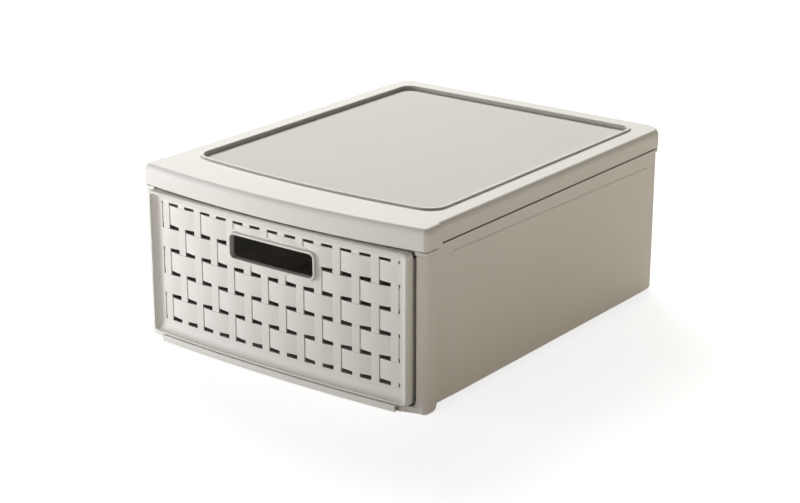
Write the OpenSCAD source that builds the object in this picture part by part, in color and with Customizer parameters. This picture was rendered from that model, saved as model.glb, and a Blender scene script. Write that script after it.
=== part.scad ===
// Stackable drawer box: a bowed-front case of snapped-together mouldings with one woven-front drawer.
// Millimetres, +Z up, front towards -Y. The feet stand on z = 0 and x = 0, y = 0 is the middle.

/* [Case] */
// Width across the side walls
case_w = 327; // [300:1:360]
// Depth from the front of the posts to the outside of the rear wall
case_d = 408.2; // [370:0.2:440]
// Height of the cover's deck above the feet
deck_z = 173; // [160:1:200]
// Wall thickness of the case mouldings
case_wall = 2.6; // [2:0.1:3]
// Radius of the upright rear corners
corner_r = 18; // [12:0.5:22]
// Height of the walls' bottom edge above the ground
wall_lift = 4; // [3:0.5:6]
// Thickness of the base plate and the tray's floor
base_t = 2.4; // [2:0.1:3]
// Clearance between fixed mouldings
fit = 0.2; // [0.1:0.05:0.4]

/* [Cover] */
// How far the cover stands out past the side and rear walls
cover_over = 2; // [1:0.1:3]
// Depth of the cover's skirt
skirt_h = 18.1; // [16:0.1:22]
// Open joint between the skirt and the walls below it
skirt_gap = 2.5; // [1:0.1:3.4]
// Radius of the cover's top edges
edge_r = 6; // [4:0.5:8]
// Width of the stacking rim, outside
rim_w = 288.6; // [270:0.2:290]
// Thickness of the stacking rim
rim_t = 3.3; // [2.4:0.1:4]
// Height of the stacking rim above the deck
rim_h = 2; // [1.4:0.1:3]
// How far the floor inside the rim lies below the deck
rim_sink = 2.5; // [1:0.1:3]
// Deck in front of the stacking rim, along the middle
rim_front = 48; // [40:1:60]
// Deck behind the stacking rim
rim_back = 23.9; // [20:0.1:30]
// Radius of the rim's front corners
rim_front_r = 20; // [12:1:30]
// Radius of the rim's rear corners
rim_rear_r = 15; // [6:1:20]

/* [Front] */
// How far the cover's front bows out past its corners
cover_bow = 12; // [6:0.5:14]
// How far the posts stand out past the side walls
post_proud = 3.2; // [1:0.1:4]
// How far the cover's front part stands out past the posts
band_proud = 1; // [0.4:0.1:2]
// Depth of the posts along the side
post_d = 18; // [15:1:24]
// Width of the posts across the front
post_w = 10.7; // [9:0.1:12]
// Radius of the posts' upright outer edge
post_r = 5; // [4:0.5:6]
// How far the cover's front part runs back along the sides
band_d = 24; // [20:0.5:30]
// How far the cover's front part hangs below the skirt
band_drop = 2.4; // [1:0.1:3]
// Height of the cross rail above the mouth
rail_h = 4; // [3:0.5:6]
// Length of the foot's toe along the front
toe_l = 15.5; // [10:0.5:18]
// Height of the bowed sill
sill_h = 5.6; // [4.6:0.1:6]
// Ground clearance of the sill
sill_lift = 0.6; // [0.4:0.1:1]

/* [Drawer] */
// Gap between the drawer front and the posts
side_gap = 2; // [1.5:0.1:3]
// Gap above and below the drawer front
front_gap = 1.2; // [0.8:0.1:2]
// How far the drawer front's middle stands out past its ends
drawer_bow = 6; // [4:0.5:8]
// How far the drawer front's ends stand out past the posts
front_proud = 10; // [8:0.5:12]
// Width of the drawer front's raised border
border_t = 2.6; // [2:0.1:3.4]
// Radius of the drawer front's corners
border_r = 4.5; // [3:0.5:6]
// How far the woven field lies behind the border
field_sink = 7; // [5:0.5:8]
// Thickness of the woven field
field_t = 2.6; // [2.4:0.1:3.2]
// Height of the tray's sides
tray_h = 133; // [90:1:134]
// Wall thickness of the tray
tray_wall = 2.2; // [1.8:0.1:2.8]
// Gap between the tray's top roll and the posts
tray_gap = 1.3; // [1:0.1:2]
// Gap between the tray's underside and the rails it slides on
slide_gap = 0.3; // [0.2:0.05:0.5]
// How far the drawer pulls out
travel = 300; // [200:1:320]

/* [Weave] */
// Distance from one slot to the next
slot_pitch = 20.95; // [18:0.05:21.5]
// Length of a slot
slot_l = 12.6; // [9:0.2:13]
// Height of a slot
slot_h = 3.5; // [2.6:0.1:4]
// Distance from one row of slots to the next
row_pitch = 23.25; // [20:0.05:23.5]
// Number of slots in a row
slots = 13; // [11:2:13]
// Number of rows of slots
rows = 6; // [4:1:6]
// Drop from the drawer front's top edge to the middle of the top row
row_drop = 11.1; // [10:0.1:13]
// Rise of a strand over the field
strand_rise = 1.5; // [1:0.1:2]
// Depth at which a strand dives behind the bars
strand_dive = 1; // [0.6:0.1:1.2]

/* [Grip] */
// Width of the hand hole
grip_w = 98.6; // [90:0.2:102]
// Height of the hand hole
grip_h = 22.8; // [20:0.2:25]
// Drop from the drawer front's top edge to the hand hole's middle
grip_drop = 33.8; // [31:0.1:37]
// Width of the bezel round the hand hole
bezel_t = 4; // [2.4:0.1:4.4]
// How far the bezel stands out of the field
bezel_proud = 3.5; // [2:0.1:4.5]
// Corner radius of the hand hole
grip_r = 4.5; // [3:0.5:6]

/* [Hidden] */

shell = [0.87, 0.85, 0.82];
inner = [0.80, 0.78, 0.75];
trim = [0.90, 0.89, 0.86];
fine = 96;
bow_fn = 720;
lap = 0.5;
cut_reach = 1.5 * case_d;

// Places along the depth, the width and the height
post_y = (front_proud + drawer_bow - case_d - cover_over) / 2;
rear_y = post_y + case_d;
post_back = post_y + post_d;
wall_x = case_w / 2;
wall_in = wall_x - case_wall;
cover_x = wall_x + cover_over;
cover_y = rear_y + cover_over;
post_x = wall_x + post_proud;
post_in = post_x - post_w;
band_x = post_x + band_proud;
band_back = post_y + band_d;
skirt_z = deck_z - skirt_h;
shoulder_z = skirt_z - skirt_gap;
band_z = skirt_z - band_drop;
rail_z = band_z - rail_h;
tongue_t = 1.7;
tongue_z = deck_z - edge_r - fit;

// The two bows: each is a big upright cylinder whose front is the face
function bow_radius(half, rise) = (half * half + rise * rise) / (2 * rise);
cover_face = post_y - band_proud - cover_bow;
cover_r = bow_radius(band_x - post_r, cover_bow);
cover_axis = cover_face + cover_r;
front_x = post_in - side_gap;
front_face = post_y - front_proud - drawer_bow;
front_r = bow_radius(front_x, drawer_bow);
front_axis = front_face + front_r;
field_r = front_r - field_sink;

// Base and drawer
sill_z = sill_lift + sill_h;
sill_back = post_y + 6;
base_z = sill_z + fit;
slide_h = 2.4;
slide_x = 110;
slide_w = 8;
front_z = sill_z + front_gap;
front_top = band_z - front_gap;
top_row_z = front_top - row_drop;
grip_z = front_top - grip_drop;
tray_z = base_z + base_t + slide_h + slide_gap;
roll = 1.2;
tray_x = post_in - tray_gap - roll;
tray_r = 8;
tray_back = rear_y - case_wall - 8;
tray_top = tray_z + tray_h;
lug_l = 4;
lug_x = wall_in - 1.9;
lug_y = tray_back - tray_r - lug_l;
stop_in = 3.3;
stop_t = 3;

// What a round corner leaves of a square one
module corner_bit(r) {
    difference() {
        translate([-1, -1]) square([r + 1, r + 1]);
        translate([r, r]) circle(r, $fn = fine);
    }
}

// A flat outline whose lower and upper corners have their own radii, 0 for square ones
module round_rect(x0, x1, y0, y1, low, high) {
    difference() {
        translate([x0, y0]) square([x1 - x0, y1 - y0]);
        if (low > 0) {
            translate([x0, y0]) corner_bit(low);
            translate([x1, y0]) rotate(90) corner_bit(low);
        }
        if (high > 0) {
            translate([x1, y1]) rotate(180) corner_bit(high);
            translate([x0, y1]) rotate(270) corner_bit(high);
        }
    }
}

// A slab that follows a bow between two radii, with round corners seen from the front
module bowed_slab(half, axis, r0, r1, z0, z1, r) {
    intersection() {
        translate([0, axis, z0]) linear_extrude(z1 - z0) difference() {
            circle(r1, $fn = bow_fn);
            circle(r0, $fn = bow_fn);
        }
        translate([0, axis - r0 + 20, 0]) rotate([90, 0, 0]) linear_extrude(60)
            round_rect(-half, half, z0, z1, r, r);
    }
}

// ---- Cover ----

// A box from a front line to the rear, round along the top edges of its sides and rear
module cover_box(half, front, back, z0, z1, upright_r, top_r) {
    intersection() {
        translate([0, 0, z0]) linear_extrude(z1 - z0) round_rect(-half, half, front, back, 0, upright_r);
        translate([0, back, 0]) rotate([90, 0, 0]) linear_extrude(back - front)
            round_rect(-half, half, z0 - 1, z1, 0, top_r);
        translate([half, 0, 0]) rotate([90, 0, -90]) linear_extrude(2 * half)
            round_rect(-back, -front + top_r + 1, z0 - 1, z1, 0, top_r);
    }
}

// Half section of a disc with a round top edge
module disc_section(r, z0, z1, edge) {
    difference() {
        translate([r - cut_reach, z0]) square([cut_reach, z1 - z0]);
        translate([r, z1]) rotate(180) corner_bit(edge);
    }
}

// What lies behind the cover's bowed and top-rounded face, set back by an inset
module bowed_front(inset, z0, z1, edge) {
    translate([0, cover_axis, 0]) rotate([0, 0, 250]) rotate_extrude(angle = 40, $fn = bow_fn)
        disc_section(cover_r - inset, z0, z1, edge);
}

// Plan of the cover's front part with its two upright corners
module band_plan() {
    corner_y = cover_axis - sqrt(pow(cover_r - post_r, 2) - pow(band_x - post_r, 2));
    translate([-band_x + post_r, cover_face - 1]) square([2 * (band_x - post_r), band_back - cover_face + 1]);
    translate([-band_x, corner_y]) square([2 * band_x, band_back - corner_y]);
    for (s = [-1, 1]) translate([s * (band_x - post_r), corner_y]) circle(post_r, $fn = fine);
}

// Plan of the stacking rim
rim_x = rim_w / 2;
rim_y0 = cover_face + rim_front;
rim_y1 = cover_y - rim_back;

module rim_plan(inset) {
    intersection() {
        round_rect(-rim_x + inset, rim_x - inset, rim_y0 + inset, rim_y1 - inset,
            rim_front_r - inset, rim_rear_r - inset);
        translate([0, cover_axis]) circle(cover_r - rim_front - inset, $fn = bow_fn);
    }
}

web_y = 12.5;
web_t = 2.5;

module top_cover() {
    ceiling = deck_z - case_wall;
    inner_r = edge_r - case_wall;
    web_back = post_y + web_y + web_t + fit;
    color(trim) difference() {
        union() {
            difference() {
                union() {
                    cover_box(cover_x, band_back - 1, cover_y, skirt_z, deck_z,
                        corner_r + cover_over, edge_r);
                    intersection() {
                        translate([0, 0, band_z]) linear_extrude(deck_z - band_z) band_plan();
                        bowed_front(0, band_z, deck_z, edge_r);
                        cover_box(band_x, cover_face - 1, cover_y, band_z, deck_z, corner_r, edge_r);
                    }
                }
                // Hollow under the deck
                intersection() {
                    bowed_front(case_wall, band_z - 1, ceiling, inner_r);
                    cover_box(cover_x - case_wall, cover_face, cover_y - case_wall, band_z - 1,
                        ceiling, corner_r + cover_over - case_wall, inner_r);
                }
            }
            // Floor inside the rim and the rim itself
            translate([0, 0, ceiling - rim_sink]) linear_extrude(case_wall + rim_sink) rim_plan(-rim_t);
            translate([0, 0, ceiling]) linear_extrude(case_wall + rim_h) rim_plan(0);
            // Ribs that hold the walls' tongues against the skirt
            for (s = [-1, 1]) translate([s * (wall_in - fit - 1), 10, ceiling - 5])
                cube([2, 2 * (rear_y - 40), 10 + lap], center = true);
            // Ribs that hold the cross rail's web
            for (x = [-120, 0, 120]) translate([x - 12, web_back, ceiling - 10]) cube([24, 2, 10 + lap]);
        }
        translate([0, 0, deck_z - rim_sink]) linear_extrude(rim_sink + rim_h + 1) rim_plan(rim_t);
    }
}

// ---- Walls ----

wall_return = corner_r + 10;
panel_front = 23;
panel_rear = 28.2;
panel_drop = 9.9;
panel_slope = 4.5;
panel_rise = 0.8;
panel_r = 5;
rear_lug_l = 8;
rear_lug_h = 3.4;
rear_lug_t = 1.6;
hook_y = [-130, 0, 130];
hook_l = 12;
hook_h = 5;
hook_z = base_z + base_t + 4;

// Ring of the case's walls in plan: how far in it starts and how thick it is
module wall_ring(start, depth) {
    difference() {
        round_rect(-wall_x + start, wall_x - start, post_back + fit, rear_y - start, 0, corner_r - start);
        round_rect(-wall_x + start + depth, wall_x - start - depth, post_back - 1,
            rear_y - start - depth, 0, max(corner_r - start - depth, 0.5));
    }
}

// Outline of the raised panel, whose top edge falls towards the rear
module panel_outline() {
    y0 = post_back + panel_front;
    y1 = rear_y - panel_rear;
    z1 = shoulder_z - panel_drop;
    r = panel_r;
    difference() {
        polygon([[y0, wall_lift], [y1, wall_lift], [y1, z1 - panel_slope], [y0, z1]]);
        translate([y1, z1 - panel_slope]) rotate(180) corner_bit(r);
        translate([y0, z1]) rotate(270) corner_bit(r);
    }
}

module side_wall() {
    color(shell) union() {
        // Wall and tongue, with their return round the rear corner
        intersection() {
            union() {
                translate([0, 0, wall_lift]) linear_extrude(shoulder_z - wall_lift) wall_ring(0, case_wall);
                translate([0, 0, wall_lift]) linear_extrude(tongue_z - wall_lift)
                    wall_ring(case_wall - tongue_t, tongue_t);
            }
            translate([wall_x - wall_return, post_back, 0]) cube([wall_return, case_d, deck_z]);
        }
        translate([wall_x - lap, 0, 0]) rotate([90, 0, 90]) linear_extrude(panel_rise + lap) panel_outline();
        // Lug round the rear corner, just under the cover's skirt
        translate([0, 0, shoulder_z - rear_lug_h]) linear_extrude(rear_lug_h) intersection() {
            difference() {
                round_rect(-wall_x, wall_x + rear_lug_t, post_back, rear_y + rear_lug_t, 0, corner_r + rear_lug_t);
                round_rect(-wall_x, wall_x - lap, post_back - 1, rear_y - lap, 0, corner_r - lap);
            }
            translate([wall_x - corner_r - rear_lug_l, rear_y - corner_r - rear_lug_l])
                square(2 * (corner_r + rear_lug_l));
        }
        // Guide over the tray's top edge, and the rib that stops the tray
        translate([tray_x - 1, post_back + 12, tray_top + 1])
            cube([wall_in - tray_x + 1 + lap, rear_y - post_back - 40, 2]);
        translate([wall_in - stop_in, lug_y - travel - fit - stop_t, tray_z + 20])
            cube([stop_in + lap, stop_t, tray_h - 40]);
        // Hooks that snap into the base plate's upstands
        for (y = hook_y) translate([wall_in - fit - 2.4, y - hook_l / 2 + fit, hook_z + fit])
            cube([fit + 2.4 + lap, hook_l - 2 * fit, hook_h - 2 * fit]);
    }
}

module left_side_wall() {
    mirror([1, 0, 0]) side_wall();
}

module right_side_wall() {
    side_wall();
}

module rear_wall() {
    half = wall_x - wall_return - fit;
    tab_l = 14;
    tab_h = tongue_z - wall_lift - 30;
    color(shell) union() {
        intersection() {
            union() {
                translate([0, 0, wall_lift]) linear_extrude(shoulder_z - wall_lift) wall_ring(0, case_wall);
                translate([0, 0, wall_lift]) linear_extrude(tongue_z - wall_lift)
                    wall_ring(case_wall - tongue_t, tongue_t);
            }
            translate([-half, 0, 0]) cube([2 * half, case_d, deck_z]);
        }
        // Tabs behind the side walls' returns
        for (s = [-1, 1]) {
            translate([s * half - tab_l / 2, rear_y - case_wall - fit - 1.8, wall_lift + 18])
                cube([tab_l, 1.8, tab_h]);
            translate([s * (half - 4) - 2.5, rear_y - case_wall - fit - 1, wall_lift + 18])
                cube([5, 1 + fit + lap, tab_h]);
        }
    }
}

// ---- Base ----

upstand_t = 2;
upstand_h = 14;
base_rib_pitch = 70;
base_rib_in = 20;
peg_in = 6;
flange_d = 11;
foot_w = 13;
foot_d = 26;
peg_x = [-100, 0, 100];
peg_d = 5;

module base_plate() {
    x = wall_in - fit;
    y0 = post_back + fit;
    y1 = rear_y - case_wall - fit;
    foot_y = y1 - 10 - foot_d / 2;
    corner = corner_r - case_wall;
    color(inner) difference() {
        union() {
            translate([0, 0, base_z]) linear_extrude(base_t) round_rect(-x, x, y0, y1, 0, corner);
            // Upstands inside the side walls and the rear wall
            translate([0, 0, base_z]) linear_extrude(upstand_h) difference() {
                round_rect(-x, x, y0, y1, 0, corner);
                round_rect(-x + upstand_t, x - upstand_t, y0 - 1, y1 - upstand_t, 0, corner - upstand_t);
            }
            translate([-post_in + 4, sill_back, base_z]) cube([2 * post_in - 8, y0 - sill_back + 1, base_t]);
            for (s = [-1, 1]) {
                // Rails that the tray slides on
                translate([s * slide_x - slide_w / 2, sill_back + 4, base_z + base_t - lap])
                    cube([slide_w, y1 - 10 - sill_back, slide_h + lap]);
                // Rear feet, which stand outside the rim of the box below
                translate([s * (rim_x + 1 + foot_w / 2), foot_y, (base_z + lap) / 2])
                    cube([foot_w, foot_d, base_z + lap], center = true);
            }
            // Ribs underneath, clear of the rim of the box below
            for (i = [-2:2]) translate([-(rim_x - base_rib_in), i * base_rib_pitch - 1, rim_h + 1])
                cube([2 * (rim_x - base_rib_in), 2, base_z - rim_h - 1 + lap]);
        }
        for (s = [-1, 1], y = hook_y) translate([s * (x - upstand_t / 2), y, hook_z + hook_h / 2])
            cube([upstand_t + 1, hook_l, hook_h], center = true);
        for (x = peg_x) translate([x, sill_back + peg_in, base_z - 1])
            cylinder(h = base_t + 2, d = peg_d + 2 * fit, $fn = 48);
    }
}

module front_sill() {
    half = post_in - toe_l;
    flange_t = 2;
    back = sill_back + flange_d;
    color(trim) union() {
        bowed_slab(half, front_axis, front_r - 2.4, front_r, sill_lift, sill_z, 0);
        // Flange that runs back under the drawer front and carries the base plate's edge
        translate([0, 0, sill_z - flange_t]) linear_extrude(flange_t) intersection() {
            translate([-half, front_face]) square([2 * half, back - front_face]);
            translate([0, front_axis]) circle(front_r - 1, $fn = bow_fn);
        }
        for (x = peg_x) translate([x, sill_back + peg_in, sill_z - flange_t])
            cylinder(h = flange_t + base_t, d = peg_d, $fn = 48);
    }
}

// ---- Front frame ----

// Channel section of a post, open towards the rear
module post_plan() {
    difference() {
        round_rect(post_in, post_x, post_y, post_back, 0, 0);
        translate([post_x, post_y]) rotate(90) corner_bit(post_r);
        translate([post_in + 2, post_y + case_wall]) square([post_w - 2 - case_wall, post_d]);
    }
}

module front_post() {
    top = rail_z - fit;
    tongue_h = top - wall_lift - 60;
    color(shell) union() {
        linear_extrude(top) post_plan();
        // Toe under the drawer front
        translate([post_in - toe_l + fit, post_y, 0]) cube([toe_l - fit + 2, 9, sill_z]);
        // Tongue behind the side wall's front edge
        translate([wall_in - fit - 1.8, post_back - 4, wall_lift + 30]) cube([1.8, 14, tongue_h]);
        translate([wall_in - fit - 1.8, post_back - 4, wall_lift + 30])
            cube([post_x - case_wall + lap - wall_in + fit + 1.8, 3, tongue_h]);
    }
}

module left_front_post() {
    mirror([1, 0, 0]) front_post();
}

module right_front_post() {
    front_post();
}

module front_rail() {
    h = rail_h - fit;
    inset = 0.5;
    collar_in = 1;
    web_h = 14;
    color(shell) union() {
        // Collars on top of the posts
        for (s = [0, 1]) mirror([s, 0, 0]) translate([0, 0, rail_z]) linear_extrude(h) difference() {
            translate([post_in - collar_in, post_y + inset])
                square([post_w + collar_in - inset, post_d - 2 * inset]);
            translate([post_x - inset, post_y + inset]) rotate(90) corner_bit(post_r - inset);
        }
        translate([-post_in - 1, post_y + 5, rail_z]) cube([2 * post_in + 2, 10, h]);
        // Upright web inside the cover's front part
        translate([-post_in + 4, post_y + web_y, rail_z]) cube([2 * post_in - 8, web_t, web_h]);
    }
}

// ---- Drawer ----

// Plan of the tray up to the back of the drawer front, shrunk by an inset
module tray_plan(inset, front_inset) {
    intersection() {
        round_rect(-tray_x + inset, tray_x - inset, front_face, tray_back - inset, 0, tray_r - inset);
        translate([0, front_axis]) circle(field_r - field_t - front_inset, $fn = bow_fn);
    }
}

module drawer_tray() {
    color(inner) difference() {
        union() {
            translate([0, 0, tray_z]) linear_extrude(tray_h) tray_plan(0, fit);
            // Rolled top edge
            translate([0, 0, tray_top - 5]) linear_extrude(5) round_rect(-tray_x - roll, tray_x + roll,
                post_y + 5, tray_back + roll, 0, tray_r + roll);
            // Lugs that meet the case's stop ribs
            for (s = [-1, 1]) translate([s * (tray_x + lug_x) / 2, lug_y + lug_l / 2, tray_z + tray_h / 2])
                cube([lug_x - tray_x + 1, lug_l, tray_h - 60], center = true);
        }
        translate([0, 0, tray_z + base_t]) linear_extrude(tray_h) tray_plan(tray_wall, -2);
    }
}

field_x = front_x - border_t;
end_x = slots * slot_pitch / 2 + slot_pitch * 0.22;
end_l = 1.9;
tuck = 0.2;
strand_w = slot_pitch + slot_l + 2 * tuck;
strand_r = bow_radius(strand_w / 2, strand_rise + strand_dive);
end_in = slots * slot_pitch / 2 - strand_w / 2 - tuck / 2;
end_w = end_x + end_l / 2 + tuck - end_in;
end_mid = end_in + end_w / 2;
bezel_w = grip_w + 2 * bezel_t;
bezel_h = grip_h + 2 * bezel_t;
collar_t = 1.4;

function column_x(i) = (i - (slots - 1) / 2) * slot_pitch;
function row_z(j) = top_row_z - j * row_pitch;

// Height of a row's slots: the top row has low ones
function row_h(j) = j == 0 ? slot_h * 0.6 : slot_h;
function row_base(j) = row_z(j) - slot_h / 2;

// Whether a slot stays clear of the grip's bezel
function clear_of_grip(x, z) = abs(x) > bezel_w / 2 || abs(z - grip_z) > bezel_h / 2;

// A point on a bow of radius r round the drawer front's axis
function bow_point(x, r) = [x, front_axis - sqrt(r * r - x * x)];

// Plan of what lies between two bows, flat from bar to bar so that the slots are straight
module bow_plan(half, r0, r1) {
    xs = concat([-half], [for (i = [0:slots]) column_x(i) - slot_pitch / 2], [half]);
    front = [for (x = xs) bow_point(x, r1)];
    back = [for (i = [len(xs) - 1:-1:0]) bow_point(xs[i], r0)];
    polygon(concat(front, back));
}

// A round-cornered window seen from the front, carried through the drawer front
module window(half, z0, z1, r) {
    translate([0, front_face + 40, 0]) rotate([90, 0, 0]) linear_extrude(60) round_rect(-half, half, z0, z1, r, r);
}

// Puts a plan on the field at x, with -Y pointing out of the face
module on_field(x) {
    translate([0, front_axis]) rotate(asin(x / field_r)) translate([0, -field_r]) children();
}

// Plan of what a row of slots cuts, with a short slot at both ends
module slot_plan(j) {
    for (i = [0:slots - 1]) if (clear_of_grip(column_x(i), row_z(j)))
        on_field(column_x(i)) translate([-slot_l / 2, -5]) square([slot_l, 10]);
    for (s = [-1, 1]) on_field(s * end_x) translate([-end_l / 2, -5]) square([end_l, 10]);
}

// Room that a strand of some width takes in the field
module strand_pocket(w) {
    translate([-w / 2, -3]) square([w, 3 + strand_dive]);
}

// Plan of a strand: an arc that rises out of the field over a width and runs on inside it
module strand_section(w) {
    rise = strand_r - sqrt(strand_r * strand_r - w * w / 4);
    intersection() {
        translate([0, strand_r - rise]) circle(strand_r, $fn = 180);
        translate([-w, -rise - 1]) square([2 * w, rise + 1 + lap]);
    }
}

// Plan of the strands' pockets between two rows, over every second bar and at the short slots
module pocket_plan(side, j) {
    for (i = [0:slots - 2]) if ((i + j) % 2 == 0)
        on_field(column_x(i) + slot_pitch / 2) strand_pocket(strand_w + tuck);
    on_field(side * end_mid) strand_pocket(end_w);
    on_field(-side * end_x) strand_pocket(end_l + 2 * tuck);
}

// Plan of the strands between two rows, the last one run out flush
module strand_plan(side, j) {
    for (i = [0:slots - 2]) if ((i + j) % 2 == 0)
        on_field(column_x(i) + slot_pitch / 2) translate([0, strand_dive]) strand_section(strand_w);
    on_field(side * end_mid) rotate(-side * atan(strand_dive / end_w)) translate([0, strand_dive / 2])
        strand_section(end_w + 2 * tuck);
}

// The woven field: a bowed wall with its slots and pockets cut out and the strands laid in
module woven_field() {
    bottom = front_z + border_t - lap;
    top = front_top - border_t + lap;
    difference() {
        translate([0, 0, bottom]) linear_extrude(top - bottom)
            bow_plan(field_x + lap, field_r - field_t, field_r);
        for (j = [0:rows - 1]) translate([0, 0, row_base(j)]) linear_extrude(row_h(j)) slot_plan(j);
        for (j = [1:rows - 1]) translate([0, 0, row_base(j) + slot_h - tuck])
            linear_extrude(row_pitch - slot_h + 2 * tuck) pocket_plan(j % 2 == 1 ? 1 : -1, j - 1);
    }
    for (j = [1:rows - 1]) translate([0, 0, row_base(j) + slot_h + tuck / 2])
        linear_extrude(row_pitch - slot_h - tuck) strand_plan(j % 2 == 1 ? 1 : -1, j - 1);
}

// The hand hole's outline, grown and carried through the drawer front
module grip_prism(grow) {
    window(grip_w / 2 + grow, grip_z - grip_h / 2 - grow, grip_z + grip_h / 2 + grow, grip_r + grow);
}

// What lies round the hand hole between two bows
module grip_ring(r0, r1, grow) {
    intersection() {
        linear_extrude(deck_z) bow_plan(front_x, r0, r1);
        grip_prism(grow);
    }
}

module drawer_front() {
    rib_x = tray_x - tray_wall - fit - 1;
    color(trim) difference() {
        union() {
            // Border
            difference() {
                intersection() {
                    linear_extrude(deck_z) bow_plan(front_x, field_r - field_t + lap, front_r);
                    window(front_x, front_z, front_top, border_r);
                }
                window(field_x, front_z + border_t, front_top - border_t, border_r - 1.5);
            }
            woven_field();
            // Ribs that lap the inside of the tray
            for (s = [-1, 1]) translate([s * rib_x - 1, post_y - 2, tray_z + 15]) cube([2, 9, tray_h - 30]);
        }
        // Seat of the grip's bezel
        grip_ring(field_r + fit / 2, field_r + field_sink - 1, bezel_t + fit);
        grip_prism(collar_t + fit);
    }
}

module grip_bezel() {
    color(trim) difference() {
        union() {
            grip_ring(field_r + fit, field_r + bezel_proud, bezel_t);
            grip_ring(field_r - field_t - 1.5, field_r + fit + lap, collar_t);
        }
        grip_prism(0);
    }
}

top_cover();
left_side_wall();
right_side_wall();
rear_wall();
base_plate();
front_sill();
left_front_post();
right_front_post();
front_rail();
drawer_tray();
drawer_front();
grip_bezel();
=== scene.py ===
import math
import bmesh
import bpy
import numpy as np
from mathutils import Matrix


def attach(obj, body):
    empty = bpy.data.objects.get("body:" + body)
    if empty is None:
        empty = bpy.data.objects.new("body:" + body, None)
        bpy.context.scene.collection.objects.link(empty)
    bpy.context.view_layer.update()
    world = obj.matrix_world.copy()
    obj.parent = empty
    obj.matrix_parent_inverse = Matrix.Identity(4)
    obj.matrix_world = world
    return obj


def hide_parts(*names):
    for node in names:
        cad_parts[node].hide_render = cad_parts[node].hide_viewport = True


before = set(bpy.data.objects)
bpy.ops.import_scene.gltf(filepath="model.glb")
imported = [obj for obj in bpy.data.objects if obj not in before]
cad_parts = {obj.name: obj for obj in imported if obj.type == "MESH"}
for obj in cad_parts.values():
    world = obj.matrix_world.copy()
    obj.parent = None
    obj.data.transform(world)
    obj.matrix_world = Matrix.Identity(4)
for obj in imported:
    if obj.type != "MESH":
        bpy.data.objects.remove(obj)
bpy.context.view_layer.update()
print("frame:", len(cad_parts), "nodes")


# Every length below is in millimetres; a mesh is scaled to metres when it is made.
def span(node):
    # the low and the high corner of one of the frame's solids
    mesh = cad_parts[node].data
    points = np.zeros(3 * len(mesh.vertices))
    mesh.vertices.foreach_get("co", points)
    points = points.reshape(-1, 3) * 1000
    return points.min(0).round(2).tolist(), points.max(0).round(2).tolist()


def bowOf(half, rise, face):
    # a shallow arc seen from above: it rises by rise over half to each side, with its middle at y = face
    radius = (half ** 2 + rise ** 2) / (2 * rise)
    return dict(radius=radius, axis=face + radius)


# The case: its outer limits come from the frame, and these sizes give the rest.
caseSizes = dict(wall=2.6, postProud=3.2, postWide=10.7, postDeep=18.0, postCorner=5.0, coverOver=2.0,
                 bandDeep=24.0, bandDrop=2.4, skirtGap=2.5, rimHigh=2.0, coverRise=12.0, drawerRise=6.0)
coverLow, coverHigh = span("top_cover")
postLow, postHigh = span("right_front_post")
case = dict(wall=caseSizes["wall"], bandX=coverHigh[0], coverY=coverHigh[1], rearY=span("rear_wall")[1][1],
            postX=postHigh[0], postY=postLow[1], wallX=postHigh[0] - caseSizes["postProud"],
            postIn=postHigh[0] - caseSizes["postWide"], postBack=postLow[1] + caseSizes["postDeep"],
            bandBack=postLow[1] + caseSizes["bandDeep"], bandZ=coverLow[2],
            skirtZ=coverLow[2] + caseSizes["bandDrop"], deckZ=coverHigh[2] - caseSizes["rimHigh"],
            wallZ=span("right_side_wall")[0][2])
case["coverX"] = case["wallX"] + caseSizes["coverOver"]
case["shoulderZ"] = case["skirtZ"] - caseSizes["skirtGap"]
coverFace = case["postY"] - (case["bandX"] - case["postX"]) - caseSizes["coverRise"]
coverBow = bowOf(case["bandX"] - caseSizes["postCorner"], caseSizes["coverRise"], coverFace)
frontBow = bowOf(span("drawer_front")[1][0], caseSizes["drawerRise"], span("front_sill")[0][1])
fine, crisp = 0.3, 0.8       # radii of the smallest moulded corners


# Making meshes

def gridFaces(rows, columns, wrap):
    # corner numbers of every cell of a grid; wrap joins the last column to the first
    r, c = np.meshgrid(np.arange(rows - 1), np.arange(columns if wrap else columns - 1), indexing="ij")
    n = (c + 1) % columns
    low, high = r * columns, (r + 1) * columns
    return np.stack([low + c, low + n, high + n, high + c], -1).reshape(-1, 4)


def loft(rings, start=True, end=True, closed=False):
    # rings is rows x points x 3: each closed ring is joined to the next, and the two ends are capped
    rows, count = rings.shape[:2]
    faces = gridFaces(rows, count, True).tolist()
    if closed:
        last = (rows - 1) * count + np.arange(count)
        first = np.arange(count)
        faces += np.stack([last, np.roll(last, -1), np.roll(first, -1), first], -1).tolist()
    else:
        faces += [list(range(count))[::-1]] if start else []
        faces += [((rows - 1) * count + np.arange(count)).tolist()] if end else []
    return rings.reshape(-1, 3), faces


def mirrored(shape):
    # the same shape on the other side of x = 0, with its faces turned back outwards
    points, faces = shape
    return points * [-1, 1, 1], [f[::-1] for f in faces]


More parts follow.
